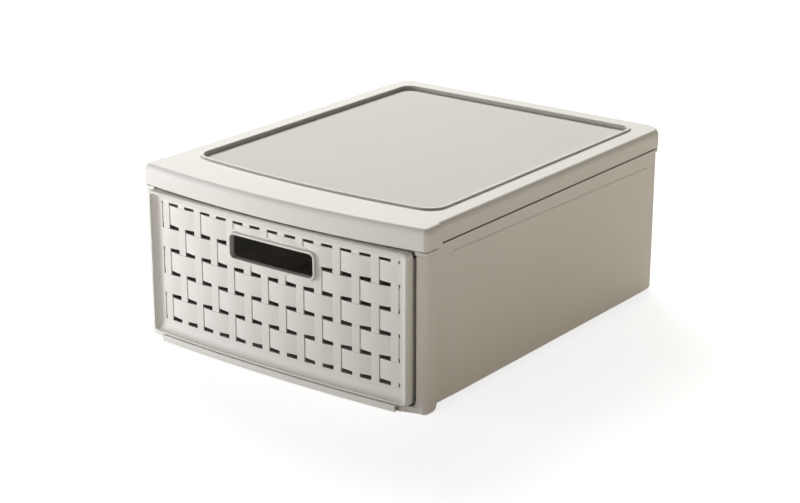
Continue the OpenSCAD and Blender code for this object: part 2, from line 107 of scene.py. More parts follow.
def makePiece(name, shapes, material, body, nodes, sharp=32):
    # joins shapes (points, faces) into one mesh in metres, merges doubles, shades it smooth up to an angle
    points = np.concatenate([s[0] for s in shapes]) * 0.001
    starts = np.cumsum([0] + [len(s[0]) for s in shapes])
    faces = [[start + i for i in f] for s, start in zip(shapes, starts) for f in s[1]]
    mesh = bpy.data.meshes.new(name)
    mesh.from_pydata(points.tolist(), [], faces)
    piece = bpy.data.objects.new(name, mesh)
    bpy.context.collection.objects.link(piece)
    work = bmesh.new()
    work.from_mesh(mesh)
    bmesh.ops.remove_doubles(work, verts=work.verts, dist=4e-6)
    bmesh.ops.dissolve_degenerate(work, edges=work.edges, dist=2e-6)
    work.to_mesh(mesh)
    work.free()
    mesh.polygons.foreach_set("use_smooth", np.ones(len(mesh.polygons), bool))
    mesh.set_sharp_from_angle(angle=math.radians(sharp))
    flat = piece.modifiers.new("flatFaces", "WEIGHTED_NORMAL")
    flat.keep_sharp = True
    for finish in material if isinstance(material, list) else [material]:
        mesh.materials.append(finish)
    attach(piece, body)
    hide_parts(*nodes)
    print("piece:", name, len(mesh.polygons), "faces")
    return piece


def roundedOutline(corners, steps=8):
    # a closed outline, counter-clockwise; each corner x, y, radius becomes an arc, radius 0 stays a point
    c = np.asarray(corners, float)
    p, r = c[:, :2], c[:, 2:3]
    back, ahead = np.roll(p, 1, 0) - p, np.roll(p, -1, 0) - p
    back /= np.linalg.norm(back, axis=1, keepdims=True)
    ahead /= np.linalg.norm(ahead, axis=1, keepdims=True)
    half = np.arccos(np.clip((back * ahead).sum(1, keepdims=True), -1, 1)) / 2
    middle = back + ahead
    middle /= np.maximum(np.linalg.norm(middle, axis=1, keepdims=True), 1e-9)
    centre = p + middle * r / np.sin(half)
    a, b = p + back * r / np.tan(half) - centre, p + ahead * r / np.tan(half) - centre
    turn = np.maximum(np.pi - 2 * half, 1e-6)[:, None]
    s = np.linspace(0, 1, steps + 1)[None, :, None]
    swing = np.sin((1 - s) * turn) * a[:, None] + np.sin(s * turn) * b[:, None]
    arc = centre[:, None] + swing / np.sin(turn)
    keep = np.ones(arc.shape[:2], bool)
    keep[r[:, 0] <= 0, 1:] = False
    arc[r[:, 0] <= 0, 0] = p[r[:, 0] <= 0]
    return arc[keep]


def lift(outline, height):
    # a flat outline set at a height, which may be one number or one for each point
    return np.column_stack([outline, np.broadcast_to(height, len(outline))])


def quarter(radius, steps):
    # a quarter circle as pairs of how far in and how far up from where the round begins
    t = np.radians(np.linspace(0, 90, steps + 1))
    return np.column_stack([radius * (1 - np.cos(t)), radius * np.sin(t)])


def softPrism(outlineAt, low, high, softLow, softHigh, steps=3):
    # outlineAt(inset) carried up from low to high, with both ends rounded by a small radius
    bottom = [(i, low + softLow - h) for i, h in quarter(softLow, steps)[::-1]]
    top = [(i, high - softHigh + h) for i, h in quarter(softHigh, steps)]
    return loft(np.array([lift(outlineAt(i), z) for i, z in bottom + top]))


def box(x0, x1, y0, y1, z0, z1, soft=0.4):
    # a box with every edge rounded
    def at(inset):
        r = max(soft - inset, 0.05)
        return roundedOutline([(x0 + inset, y0 + inset, r), (x1 - inset, y0 + inset, r),
                               (x1 - inset, y1 - inset, r), (x0 + inset, y1 - inset, r)], 3)
    return softPrism(at, z0, z1, soft, soft)


def bowLine(bow, half, count, inset=0.0):
    # points on a bow seen from above, from left to right, each with corner radius 0
    x = np.linspace(-half, half, count)
    y = bow["axis"] - np.sqrt((bow["radius"] - inset) ** 2 - x ** 2)
    return np.column_stack([x, y, np.zeros(count)])


# Finishes

def linear(hexCode):
    # an sRGB hex colour as linear red, green, blue and alpha
    s = np.array([int(hexCode[i:i + 2], 16) for i in (1, 3, 5)]) / 255
    return (*np.where(s <= 0.04045, s / 12.92, ((s + 0.055) / 1.055) ** 2.4), 1.0)


def addNode(tree, kind, settings, links=None):
    # one node: a setting is a socket's value if the node has that socket, otherwise a property
    node = tree.nodes.new(kind)
    for key, value in settings.items():
        if isinstance(key, int) or key in node.inputs:
            node.inputs[key].default_value = value
        else:
            setattr(node, key, value)
    for key, source in (links or {}).items():
        tree.links.new(source, node.inputs[key])
    return node


def mouldedPolypropylene(name, colour, shade, roughness, grain, depth):
    # Moulded polypropylene: a satin, slightly waxy surface. The tool's fine spark-eroded grain, in mm,
    # softens the highlight, and the colour drifts by a shade over a hand's width where the melt cooled.
    # The grain is drawn a few times coarser than the real 0.2 mm, so that it shows in the render.
    material = bpy.data.materials.new(name)
    material.use_nodes = True
    tree = material.node_tree
    tree.nodes.clear()
    place = addNode(tree, "ShaderNodeTexCoord", {}).outputs["Object"]
    drift = addNode(tree, "ShaderNodeTexNoise", {"Scale": 9.0, "Detail": 2.0}, {"Vector": place})
    tone = addNode(tree, "ShaderNodeMix", {"data_type": "RGBA", 6: linear(colour), 7: linear(shade)},
                   {0: drift.outputs["Fac"]})
    grit = addNode(tree, "ShaderNodeTexNoise", {"Scale": 1000 / grain, "Detail": 3.0}, {"Vector": place})
    matt = addNode(tree, "ShaderNodeMapRange", {"To Min": roughness - 0.05, "To Max": roughness + 0.05},
                   {"Value": grit.outputs["Fac"]})
    wave = addNode(tree, "ShaderNodeTexNoise", {"Scale": 22.0, "Detail": 1.0}, {"Vector": place})
    sink = addNode(tree, "ShaderNodeBump", {"Strength": 0.25, "Distance": 0.0006},
                   {"Height": wave.outputs["Fac"]})
    bump = addNode(tree, "ShaderNodeBump", {"Strength": 0.5, "Distance": depth * 0.001},
                   {"Height": grit.outputs["Fac"], "Normal": sink.outputs["Normal"]})
    shader = addNode(tree, "ShaderNodeBsdfPrincipled", {"IOR": 1.49, "Specular IOR Level": 0.35},
                     {"Base Color": tone.outputs[2], "Roughness": matt.outputs[0],
                      "Normal": bump.outputs["Normal"]})
    addNode(tree, "ShaderNodeOutputMaterial", {}, {"Surface": shader.outputs[0]})
    return material


# light warm grey, even and satin
casePlastic = mouldedPolypropylene("mouldedPolypropyleneCase", "#E2E0DA", "#DDDAD3", 0.58, 1.1, 0.03)
# the sunken top, a shade darker and more matt, from a coarser grain in the tool
deckPlastic = mouldedPolypropylene("texturedPolypropyleneTop", "#D5D2CB", "#D0CDC5", 0.7, 0.8, 0.05)
# the same plastic with a little more sheen, which shows on the strands
frontPlastic = mouldedPolypropylene("mouldedPolypropyleneFront", "#E1DFD9", "#DCD9D2", 0.55, 1.1, 0.03)
# inside mouldings, smoother, and a shade darker: the darker colour is painted shade for the dim inside of
# the case, seen through the slots and the hand hole
trayPlasticPaintedShade = mouldedPolypropylene("mouldedPolypropyleneTrayPaintedShade", "#DCD9D2", "#D6D2CA", 0.45, 1.2, 0.03)
print("finishes made")


# Cover: deck, skirt, soft top edge and stacking rim

cover = dict(edgeQuick=3.2, edgeSlow=9.0, edgeTurn=50.0, rearCorner=20.0, frontCorner=5.0, lip=0.5,
             bandCorner=1.5, rimX=144.3, rimRear=189.2, rimFront=48.0, rimFrontCorner=20.0,
             rimRearCorner=15.0, rimTop=coverHigh[2], floor=coverHigh[2] - 4.5)
cornerReach = 1.35           # a bow's points stop this many corner radii before its end, clear of the arc


def edgeProfile(steps=6):
    # the cover's top edge as pairs of how far in and how far below the deck: a slow arc out of the upright
    # face, then a quick one over into the deck
    turn = math.radians(cover["edgeTurn"])
    slow = np.linspace(math.pi / 2, turn, steps + 1)
    quick = np.linspace(turn, 0, steps + 1)[1:]
    reach = cover["edgeQuick"] * math.sin(turn) + cover["edgeSlow"] * (1 - math.sin(turn))
    rise = cover["edgeQuick"] * (1 - math.cos(turn))
    low = np.column_stack([cover["edgeSlow"] * (1 - np.sin(slow)),
                           rise + cover["edgeSlow"] * (math.cos(turn) - np.cos(slow))])
    high = np.column_stack([reach - cover["edgeQuick"] * np.sin(quick),
                            cover["edgeQuick"] * (1 - np.cos(quick))])
    return np.concatenate([low, high])


def coverOutline(inset):
    # the cover seen from above: straight sides and rear, a small step outwards, and the bowed front
    side, band, rear = case["coverX"] - inset, case["bandX"] - inset, case["coverY"] - inset
    step, outer = case["bandBack"] - inset * 0.2, cover["bandCorner"]
    back, front = max(cover["rearCorner"] - inset, 1.6), max(cover["frontCorner"] - inset, 1.4)
    bow = bowLine(coverBow, band - cornerReach * front, 61, inset)
    edgeY = coverBow["axis"] - math.sqrt((coverBow["radius"] - inset) ** 2 - band ** 2)
    return roundedOutline([(side, rear, back), (-side, rear, back), (-side, step, 0.5),
                           (-band, step, outer), (-band, edgeY, front), *bow.tolist(),
                           (band, edgeY, front), (band, step, outer), (side, step, 0.5)], 10)


def rimOutline(inset):
    # the stacking rim seen from above, its front parallel to the cover's bow
    half, rear = cover["rimX"] - inset, cover["rimRear"] - inset
    front, back = cover["rimFrontCorner"] - inset, cover["rimRearCorner"] - inset
    away = cover["rimFront"] + inset
    bow = bowLine(coverBow, half - cornerReach * front, 49, away)
    edgeY = coverBow["axis"] - math.sqrt((coverBow["radius"] - away) ** 2 - half ** 2)
    return roundedOutline([(half, rear, back), (-half, rear, back), (-half, edgeY, front), *bow.tolist(),
                           (half, edgeY, front)], 12)


def deckBetween(outer, inner):
    # triangles that fill the flat ring between two outlines at the same height
    work = bmesh.new()
    loops = []
    for outline in (outer, inner):
        corners = [work.verts.new(p) for p in outline.tolist()]
        loops += [work.edges.new(pair) for pair in zip(corners, corners[1:] + corners[:1])]
    bmesh.ops.triangle_fill(work, use_beauty=True, edges=loops, normal=(0, 0, 1))
    work.verts.index_update()
    points = np.array([v.co[:] for v in work.verts])
    faces = [[v.index for v in (f.verts if f.normal.z > 0 else reversed(f.verts))] for f in work.faces]
    work.free()
    return points, faces


def makeCover():
    # shell: inner side, lip, skirt and soft edge up to the deck; rim: fillets and crown down to the floor
    plan = coverOutline(0)
    lowest = np.where(plan[:, 1] < case["bandBack"] + 0.05, case["bandZ"], case["skirtZ"])
    wall, deckZ, lip = case["wall"], case["deckZ"], cover["lip"]
    rows = [lift(coverOutline(wall), cover["floor"] - wall), lift(coverOutline(wall), lowest + lip)]
    rows += [lift(coverOutline(wall - i), lowest + lip - h) for i, h in quarter(lip, 3)[1:]]
    rows += [lift(coverOutline(i), lowest + lip - h) for i, h in quarter(lip, 3)[::-1]]
    rows += [lift(coverOutline(i), deckZ - below) for i, below in edgeProfile()]
    shell = loft(np.array(rows), end=False)
    top, floor = cover["rimTop"], cover["floor"]
    profile = [(-1.7, deckZ), (-1.0, deckZ + 0.08), (-0.45, deckZ + 0.35), (-0.1, deckZ + 0.85),
               (0.05, top - 0.75), (0.25, top - 0.3), (0.6, top - 0.07), (1.1, top),
               (2.3, top), (2.8, top - 0.07), (3.12, top - 0.3), (3.3, top - 0.75),
               (3.35, floor + 1.5), (3.5, floor + 0.9), (3.85, floor + 0.4), (4.4, floor + 0.1),
               (5.2, floor)]
    rim = loft(np.array([lift(rimOutline(i), z) for i, z in profile]), start=False, end=False)
    count = len(rimOutline(0))
    flatFloor = (rim[0][-count:], [list(range(count))])
    deck = deckBetween(shell[0][-len(plan):], rim[0][:count])
    return [shell, rim, flatFloor, deck]


topCover = makePiece("top_cover_shell", makeCover(), [casePlastic, deckPlastic], "case", ["top_cover"])
# the sunken floor's faces look up and lie at its height: they take the second finish
centres, normals = np.zeros((2, len(topCover.data.polygons) * 3))
topCover.data.polygons.foreach_get("center", centres)
topCover.data.polygons.foreach_get("normal", normals)
sunken = (np.abs(centres[2::3] - cover["floor"] * 0.001) < 1e-4) & (normals[2::3] > 0.9)
topCover.data.polygons.foreach_set("material_index", sunken.astype(np.int32))


# Side walls

sideWall = dict(back=28.0, corner=18.0, soft=0.5, gap=0.2, rise=0.8, panelFront=case["postY"] + 41.0,
                panelRear=case["rearY"] - 28.2, panelTop=142.5, panelFall=4.5, panelCorner=5.0,
                panelSoft=1.9, panelLift=0.4, lugTurn=45.0, lugSpread=64.0, lugLow=150.0, lugOut=1.6,
                lugRoot=0.6)


def wallOutline(inset):
    # side wall seen from above, with its short return round the rear corner
    out, rear = case["wallX"] - inset, case["rearY"] - inset
    inside, innerRear = case["wallX"] - case["wall"] + inset, case["rearY"] - case["wall"] + inset
    front, end = case["postBack"] + sideWall["gap"] + inset, case["wallX"] - sideWall["back"] + inset
    edge = max(sideWall["soft"] - inset, 0.05)
    r = sideWall["corner"]
    return roundedOutline([(inside, front, edge), (out, front, edge), (out, rear, r - inset),
                           (end, rear, edge), (end, innerRear, edge),
                           (inside, innerRear, max(r - case["wall"] + inset, 0.5))], 8)


def panelOutline(inset):
    # the raised panel seen from the side, its top edge falling towards the rear
    y0, y1 = sideWall["panelFront"] + inset, sideWall["panelRear"] - inset
    z0, z1 = case["wallZ"] + sideWall["panelLift"], sideWall["panelTop"] - inset
    r = sideWall["panelCorner"] - inset
    fall = sideWall["panelFall"]
    return roundedOutline([(y0, z0, fine), (y1, z0, fine), (y1, z1 - fall, r), (y0, z1, r)], 8)


def lugOutline(inset):
    # the lug seen from above: a short sector of a ring round the rear corner, which closes the gap there
    r = sideWall["corner"]
    centre = np.array([case["wallX"] - r, case["rearY"] - r])
    spread = math.radians(sideWall["lugSpread"]) / 2 - inset / r
    t = math.radians(sideWall["lugTurn"]) + np.linspace(-spread, spread, 17)
    way = np.column_stack([np.cos(t), np.sin(t)])
    outer, root = r + sideWall["lugOut"] - inset, r - sideWall["lugRoot"]
    return np.concatenate([centre + way * outer, (centre + way * root)[::-1]])


def makeSideWall():
    # wall, the raised panel, whose edge swells like a quarter of a sine wave, and the rear corner's lug
    soft = sideWall["soft"]
    wall = softPrism(wallOutline, case["wallZ"], case["shoulderZ"], soft, soft)
    run = np.linspace(0.08, 1, 8)
    swell = np.column_stack([run * sideWall["panelSoft"], sideWall["rise"] * np.sin(run * math.pi / 2)])
    rows = []
    for inset, height in [(-0.3, -0.3), (-0.2, 0.0), *swell]:
        edge = panelOutline(inset)
        rows.append(np.column_stack([np.full(len(edge), case["wallX"] + height), edge]))
    lug = softPrism(lugOutline, sideWall["lugLow"], case["skirtZ"] - 0.1, 0.5, 0.2)
    return [wall, loft(np.array(rows)), lug]


rightWall = makeSideWall()
leftWall = [mirrored(shape) for shape in rightWall]
makePiece("right_side_wall_shell", rightWall, casePlastic, "case", ["right_side_wall"])
makePiece("left_side_wall_shell", leftWall, casePlastic, "case", ["left_side_wall"])


# Front posts, cross rail and sill

sillLow, sillHigh = span("front_sill")
sill = dict(half=sillHigh[0], low=sillLow[2], high=6.8, thick=2.4, flange=2.0, back=sillHigh[1], soft=0.7,
            reach=100.0)
post = dict(corner=caseSizes["postCorner"], rearCorner=1.6, soft=0.6, top=147.6, footRound=6.0,
            toe=15.3, toeOut=5.5, toeDepth=9.0, toeTop=6.2, toeRoot=4.0, toeCorner=2.5, toeSoft=0.7,
            toeFillet=4.5, tailIn=7.0, tailOut=3.0, tailDeep=5.0, tailGap=0.1,
            collarTop=151.5, collarLow=147.8, collarIn=1.6, collarOut=0.3, collarSoft=0.5)


def postOutline(inset, cut=0.0):
    # upright post seen from above, only its outer front edge well rounded; cut shortens its rear low down
    x0, x1 = case["postIn"] + inset, case["postX"] - inset
    y0, y1 = case["postY"] + inset, case["postBack"] - inset - cut
    return roundedOutline([(x0, y0, max(crisp - inset, 0.05)), (x1, y0, post["corner"] - inset),
                           (x1, y1, max(post["rearCorner"] - inset, 0.05)), (x0, y1, fine)], 10)


def toeOutline(inset):
    # the toe seen from above: its front runs out obliquely from the post towards the sill
    x0, x1 = case["postIn"] - post["toe"] + inset, case["postIn"] + post["toeRoot"]
    y, back = case["postY"] + inset, case["postY"] + post["toeDepth"] - inset
    return roundedOutline([(x0, y - post["toeOut"], crisp), (x1, y, post["toeCorner"]),
                           (x1, back, fine), (x0, back, fine)], 6)


def makeFillet():
    # the hollow rounding where the toe's top meets the post's inner face, its section carried to the rear
    r, x, z, y = post["toeFillet"], case["postIn"], post["toeTop"], case["postY"]
    turn = np.radians(np.linspace(0, -90, 9))
    arc = np.column_stack([x - r + r * np.cos(turn), z + r + r * np.sin(turn)])
    section = np.concatenate([arc, [(x - r, z - 1), (x + 1, z - 1), (x + 1, z + r)]])
    ends = (y + post["toeDepth"] - 0.5, y + 0.5)
    return loft(np.array([np.insert(section, 1, end, axis=1) for end in ends]))


def standBack(radius, height):
    # how far a rounding of this radius stands back at a height over its lowest point
    return radius - math.sqrt(radius ** 2 - max(radius - height, 0) ** 2)


def makePost():
    # post, rounded up at the rear of its foot, with the toe, its fillet and its low tail behind the sill
    soft, foot, top = post["soft"], post["footRound"], post["top"]
    heights = np.concatenate([soft - quarter(soft, 3)[:, 1], foot - quarter(foot, 8)[:, 1]])
    rows = [(standBack(soft, z), z, standBack(foot, z)) for z in np.unique(heights.round(4))]
    rows += [(i, top - soft + h, 0) for i, h in quarter(soft, 3)]
    rings = [lift(postOutline(i, cut), z) for i, z, cut in rows]
    toe = softPrism(toeOutline, 0, post["toeTop"], post["toeSoft"], post["toeSoft"])
    end, y = case["postIn"] - post["toe"], case["postY"]
    tail = box(end - post["tailIn"], end + post["tailOut"], y - post["toeOut"], y + post["tailDeep"],
               0, sill["high"] - sill["flange"] - post["tailGap"])
    return [loft(np.array(rings)), toe, tail, makeFillet()]


rightPost = makePost()
leftPost = [mirrored(shape) for shape in rightPost]
makePiece("right_front_post_shell", rightPost, casePlastic, "case", ["right_front_post"])
makePiece("left_front_post_shell", leftPost, casePlastic, "case", ["left_front_post"])


def collarOutline(inset):
    # the rail's end on top of a post: a little prouder than the post, and reaching in over the drawer
    out, edge = post["collarOut"] - inset, max(crisp - inset, 0.05)
    x0, x1 = case["postIn"] - post["collarIn"] + inset, case["postX"] + out
    y0, y1 = case["postY"] - out, case["postBack"] + out
    return roundedOutline([(x0, y0, edge), (x1, y0, post["corner"] - post["collarSoft"] - inset),
                           (x1, y1, edge), (x0, y1, fine)], 10)


rail = dict(front=5.0, depth=10.0, lap=1.0, webFront=12.5, web=2.5, webIn=4.0,
            webTop=span("front_rail")[1][2])
collarLow, collarTop = post["collarLow"], post["collarTop"]
collar = softPrism(collarOutline, collarLow, collarTop, post["collarSoft"], post["collarSoft"])
railHalf, webHalf = case["postIn"] + rail["lap"], case["postIn"] - rail["webIn"]
railFront, webFront = case["postY"] + rail["front"], case["postY"] + rail["webFront"]
railBar = box(-railHalf, railHalf, railFront, railFront + rail["depth"], collarLow, collarTop)
railWeb = box(-webHalf, webHalf, webFront, webFront + rail["web"], collarLow, rail["webTop"])
makePiece("front_rail_bar", [collar, mirrored(collar), railBar, railWeb], casePlastic, "case",
          ["front_rail"])


def makeSill():
    # the sill's section, an upright strip with a flange to the rear, carried along the front bow; the
    # flange reaches well back and is cut off on one straight line
    x = np.linspace(-sill["half"], sill["half"], 97)
    front = frontBow["axis"] - np.sqrt(frontBow["radius"] ** 2 - x ** 2)
    low, high, thick, reach = sill["low"], sill["high"], sill["thick"], sill["reach"]
    under = high - sill["flange"]
    section = roundedOutline([(0, low, sill["soft"]), (thick, low, fine), (thick, under, fine),
                              (reach, under, fine), (reach, high, fine), (0, high, sill["soft"])], 5)
    depth, height = np.broadcast_to(section[:, 0], (len(x), len(section))), section[:, 1]
    y = np.minimum(front[:, None] + depth, sill["back"])
    rings = np.stack([np.broadcast_to(x[:, None], y.shape), y, np.broadcast_to(height, y.shape)], -1)
    return loft(rings[::-1])


makePiece("front_sill_strip", [makeSill()], casePlastic, "case", ["front_sill"])


# Drawer front: woven field, border and the bezel round the hand hole

weave = dict(pitch=20.95, slot=12.6, slotHeight=3.9, topSlotHeight=2.8, rowPitch=23.25, columns=13, rows=6,
             topRow=140.2, rise=0.7, dive=0.9, soft=0.4, sheet=1.8, endSlot=140.784, endWidth=1.9,
             edgeX=144.2, low=17.2, high=141.6)
frontLow, frontHigh = span("drawer_front")
border = dict(half=frontHigh[0], low=frontLow[2], high=frontHigh[2], sink=7.0, corner=4.5, round=2.5,
              cove=7.0, crestCorner=3.6, coveCorner=3.8, backSoft=0.6)
bezelLow, bezelHigh = span("grip_bezel")
grip = dict(width=4.0, proud=3.5, cut=2.0, corner=4.5, z=(bezelHigh[2] + bezelLow[2]) / 2)
grip["half"] = bezelHigh[0] - grip["width"]
grip["halfHeight"] = bezelHigh[2] - grip["z"] - grip["width"]


def onFront(x, z, h):
    # a point of the drawer front: h is how far it stands out of the woven field, which follows the bow
    r = frontBow["radius"] - border["sink"] + h
    return np.stack([x, frontBow["axis"] - np.sqrt(r * r - x * x), z], -1)


def strandHeight(x, band):
    # height over the field of the strand, bar or groove that x lies on, for bands of even or odd number
    p, half = weave["pitch"], (weave["pitch"] + weave["slot"]) / 2
    total = weave["rise"] + weave["dive"]
    radius = (half * half + total * total) / (2 * total)
    side = 1 - 2 * (band % 2)
    strand = 2 * p * np.round((x - p * (0.5 + band % 2)) / (2 * p)) + p * (0.5 + band % 2)
    away = x - strand
    arc = np.sqrt(np.maximum(radius ** 2 - away ** 2, 0)) - radius + weave["rise"]
    over = (np.abs(away) < half) & (np.abs(strand) < weave["columns"] * p / 2 - 1)
    start, end = weave["columns"] * p / 2 - half, weave["endSlot"] + weave["endWidth"] / 2
    run = x * side - start
    halfArc = -weave["dive"] * (1 - run / (end - start)) + run * (end - start - run) / (2 * radius)
    last = (run > 0) & (x * side < end)
    groove = np.abs(x * side + weave["endSlot"]) < weave["endWidth"] / 2
    return np.where(last, halfArc, np.where(over, arc, np.where(groove, -weave["dive"], 0.0))), last | over


def slotColumns():
    # left and right edges of all slots in a row, the two short end slots included
    centre = (np.arange(weave["columns"]) - (weave["columns"] - 1) / 2) * weave["pitch"]
    left, right = centre - weave["slot"] / 2, centre + weave["slot"] / 2
    end = weave["endSlot"] + np.array([-1, 1]) * weave["endWidth"] / 2
    return np.concatenate([[-end[1]], left, [end[0]]]), np.concatenate([[-end[0]], right, [end[1]]])


def makeWeave():
    # A grid of cells over the field. Each cell has the height of its strand, bar or groove at its four
    # corners; a wall joins neighbours of different height, and slots are cells left out. A strand's upper
    # and lower edges drop by a quarter circle, sampled at the heights in softs.
    left, right = slotColumns()
    across = np.concatenate([np.linspace(a, b, 8 if b - a > 3 else 2) for a, b in zip(left, right)])
    bars = np.concatenate([np.linspace(a, b, 4)[1:-1] for a, b in zip(right[:-1], left[1:])])
    holeX, holeZ = grip["half"] + grip["cut"], grip["halfHeight"] + grip["cut"]
    xs = np.concatenate([across, bars, [-weave["edgeX"], weave["edgeX"], -holeX, holeX]])
    xs = np.unique(np.round(xs, 4))
    base = weave["topRow"] - weave["slotHeight"] / 2 - weave["rowPitch"] * np.arange(weave["rows"])
    high = base + np.where(np.arange(weave["rows"]) == 0, weave["topSlotHeight"], weave["slotHeight"])
    bandLow, bandHigh = high[1:], base[:-1]
    softs = np.array([0, 0.06, 0.17, 0.32, 0.5])
    softRows = [(bandLow[:, None] + softs).ravel(), (bandHigh[:, None] - softs).ravel()]
    limits = [weave["low"], weave["high"], grip["z"] - holeZ, grip["z"] + holeZ]
    zs = np.concatenate([base, high, *softRows, limits])
    zs = np.unique(np.round(zs, 4))
    cx, cz = (xs[1:] + xs[:-1]) / 2, (zs[1:] + zs[:-1]) / 2
    band = np.searchsorted(-bandLow, -cz)                          # which band a row of cells lies in
    inBand = ((cz[:, None] > bandLow) & (cz[:, None] < bandHigh)).any(1)
    slotRow = ((cz[:, None] > base) & (cz[:, None] < high)).any(1)
    slotCell = ((cx[:, None] > left) & (cx[:, None] < right)).any(1)
    hand = (np.abs(cx)[None] < holeX) & (np.abs(cz - grip["z"])[:, None] < holeZ)
    aboutGrip = (np.abs(cx)[None] < grip["half"] + grip["width"]) & \
        (np.abs(cz - grip["z"])[:, None] < grip["halfHeight"] + grip["width"])
    hole = (slotRow[:, None] & slotCell[None] & ~aboutGrip) | hand
    edge = np.minimum(np.abs(zs[:, None] - bandLow).min(1), np.abs(zs[:, None] - bandHigh).min(1))
    drop = weave["soft"] * (1 - np.sqrt(np.clip(1 - (1 - np.minimum(edge / weave["soft"], 1)) ** 2, 0, 1)))
    rowsOf, height = np.arange(len(cz)), np.zeros((len(cz), len(cx), 2, 2))
    for parity in (0, 1):
        mine = inBand & (band % 2 == parity)
        inner = np.stack([xs[:-1] + 1e-6, xs[1:] - 1e-6], -1)
        level, over = strandHeight(inner, parity)
        for k in (0, 1):
            lowered = level[None] - np.where(over[None], drop[rowsOf + k][:, None, None], 0)
            height[:, :, k, :] = np.where(mine[:, None, None], lowered, height[:, :, k, :])
    x = np.broadcast_to(np.stack([xs[:-1], xs[1:]], -1)[None, :, None, :], height.shape)
    z = np.broadcast_to(np.stack([zs[:-1], zs[1:]], -1)[:, None, :, None], height.shape)
    depth = np.where(hole[:, :, None, None], -weave["sheet"], height)
    solid, ring = ~hole, [(0, 0), (0, 1), (1, 1), (1, 0)]
    xSolid, zSolid, top = x[solid], z[solid], height[solid]
    under = np.full(len(top), -weave["sheet"])
    face = [onFront(xSolid[:, k, i], zSolid[:, k, i], top[:, k, i]) for k, i in ring]
    rear = [onFront(xSolid[:, k, i], zSolid[:, k, i], under) for k, i in ring[::-1]]
    # walls between a cell and its right neighbour, then between a cell and the one above it
    a, b, xe, ze = depth[:, :-1, :, 1], depth[:, 1:, :, 0], x[:, :-1, :, 1], z[:, :-1, :, 1]
    differ = np.abs(a - b).max(-1) > 1e-4
    upright = [onFront(xe[differ][:, k], ze[differ][:, k], v[differ][:, k])
               for k, v in ((0, a), (0, b), (1, b), (1, a))]
    a, b, xe, ze = depth[:-1, :, 1, :], depth[1:, :, 0, :], x[:-1, :, 1, :], z[:-1, :, 1, :]
    differ = np.abs(a - b).max(-1) > 1e-4
    level = [onFront(xe[differ][:, i], ze[differ][:, i], v[differ][:, i])
             for i, v in ((0, a), (1, a), (1, b), (0, b))]
    corners = np.concatenate([np.stack(quads, 1) for quads in (face, rear, upright, level)])
    return corners.reshape(-1, 3), np.arange(len(corners) * 4).reshape(-1, 4).tolist()


def frontOutline(inset, r):
    # the drawer front seen from the front, shrunk by an inset, with its own corner radius
    half, low, high = border["half"] - inset, border["low"] + inset, border["high"] - inset
    x, flat = np.linspace(-half + r + 1, half - r - 1, 41), np.zeros(41)
    lower, upper = np.column_stack([x, low + flat, flat]), np.column_stack([x[::-1], high + flat, flat])
    return roundedOutline([*lower.tolist(), (half, low, r), (half, high, r), *upper.tolist(),
                           (-half, high, r), (-half, low, r)], 8)


def makeBorder():
    # the profile carried round the front as inset, depth and corner radius: back, side, round edge, narrow
    # crest, and the cove down to the field
    sink, cove, rounded = border["sink"], border["cove"], border["round"]
    corner, crestCorner, soft = border["corner"], border["crestCorner"], border["backSoft"]
    last, back = border["half"] - weave["edgeX"], sink + weave["sheet"]
    crest = last - cove - 0.1
    profile = [(last, back, fine), (soft, back, corner), (0.0, back - soft, corner)]
    profile += [(i, rounded - h, corner - 0.3 * i) for i, h in quarter(rounded, 9)]
    profile += [(crest + 0.02, 0.05, crestCorner), (crest + 0.12, 0.3, crestCorner)]
    t = np.radians(np.linspace(6, 90, 13))
    profile += np.column_stack([last - cove * np.cos(t), sink * np.sin(t),
                                border["coveCorner"] * np.cos(t) + fine]).tolist()
    rings = []
    for inset, depth, r in profile:
        o = frontOutline(inset, r)
        rings.append(onFront(o[:, 0], o[:, 1], np.full(len(o), sink - depth)))
    return loft(np.array(rings), start=False, end=False)


makePiece("drawer_front_woven", [makeWeave(), makeBorder()], frontPlastic, "drawer", ["drawer_front"])


def makeBezel():
    # a raised ring round the hand hole, as pairs of how far outside the hole and how proud of the field:
    # the rear, the inner wall, the narrow crest, and an outer face that runs out into the field
    top = grip["proud"]
    profile = [(4.6, -0.4), (3.0, -1.6), (1.4, -2.4), (0.3, -2.6), (0.0, -2.3), (0.0, top - 0.8),
               (0.06, top - 0.4), (0.25, top - 0.12), (0.6, top), (1.3, top), (1.75, top - 0.12),
               (2.05, top - 0.4), (2.2, top - 0.8), (2.35, 1.6), (2.5, 0.9), (2.8, 0.4), (3.3, 0.12),
               (grip["width"], 0.0)]
    rings = []
    for grow, h in profile:
        x, r = grip["half"] + grow, grip["corner"] + grow
        low, high = grip["z"] - grip["halfHeight"] - grow, grip["z"] + grip["halfHeight"] + grow
        run, flat = np.linspace(-x + r + 1, x - r - 1, 25), np.zeros(25)
        lower = np.column_stack([run, low + flat, flat])
        upper = np.column_stack([run[::-1], high + flat, flat])
        o = roundedOutline([*lower.tolist(), (x, low, r), (x, high, r), *upper.tolist(),
                            (-x, high, r), (-x, low, r)], 10)
        rings.append(onFront(o[:, 0], o[:, 1], np.full(len(o), h)))
    return loft(np.array(rings)[::-1], closed=True)


makePiece("grip_bezel_ring", [makeBezel()], frontPlastic, "drawer", ["grip_bezel"])


# Pieces whose solids are right as they are: a small rounding and the finish

# the tray and the base plate take the tray plastic, whose darker colour is painted shade for the inside of
# the case
carried = dict(rear_wall=casePlastic, base_plate=trayPlasticPaintedShade, drawer_tray=trayPlasticPaintedShade)
softEdge = dict(width=0.0004, turn=40)       # metres, and the least angle in degrees that is rounded
for name, finish in carried.items():
    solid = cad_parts[name]
    solid.data.materials.clear()
    solid.data.materials.append(finish)
    weld = solid.modifiers.new("weld", "WELD")
    weld.merge_threshold = 1e-5
    soft = solid.modifiers.new("softEdges", "BEVEL")
    soft.width, soft.segments = softEdge["width"], 2
    soft.limit_method, soft.angle_limit = "ANGLE", math.radians(softEdge["turn"])
    soft.harden_normals = True
print("carried solids finished")


# Floor, light and camera

